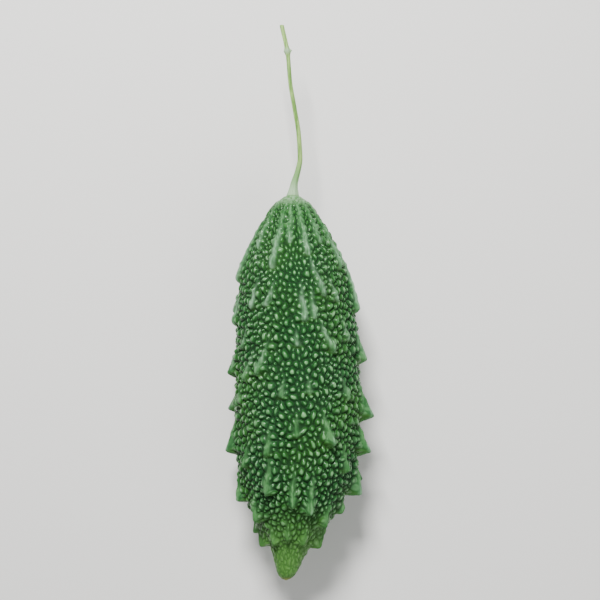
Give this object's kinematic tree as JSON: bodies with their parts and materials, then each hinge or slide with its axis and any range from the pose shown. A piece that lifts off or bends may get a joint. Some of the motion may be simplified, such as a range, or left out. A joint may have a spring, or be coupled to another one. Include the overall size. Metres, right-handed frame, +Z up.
{
  "type": "bitter gourd",
  "caption": "Spindle-shaped bitter gourd with toothed ridges, a warty skin and its stalk, lying on its side.",
  "frame": {"origin": "on the surface that the gourd lies on, under the middle of the box round the fruit and its stalk", "axes": "+Y from the blossom tip to the stalk's cut end, +Z up from the surface, +X to the right when the gourd is seen from above with its stalk pointing away"},
  "size_m": [0.0704, 0.2614, 0.0592],
  "materials": {
    "skin": "dark green waxy skin, paler on the ridges and towards the stalk, yellow-green at the tip",
    "stalk": "light green, matt, whitish at the collar"
  },
  "bodies": {
    "root": {"fruit": "skin", "stalk": "stalk"}
  },
  "joints": []
}
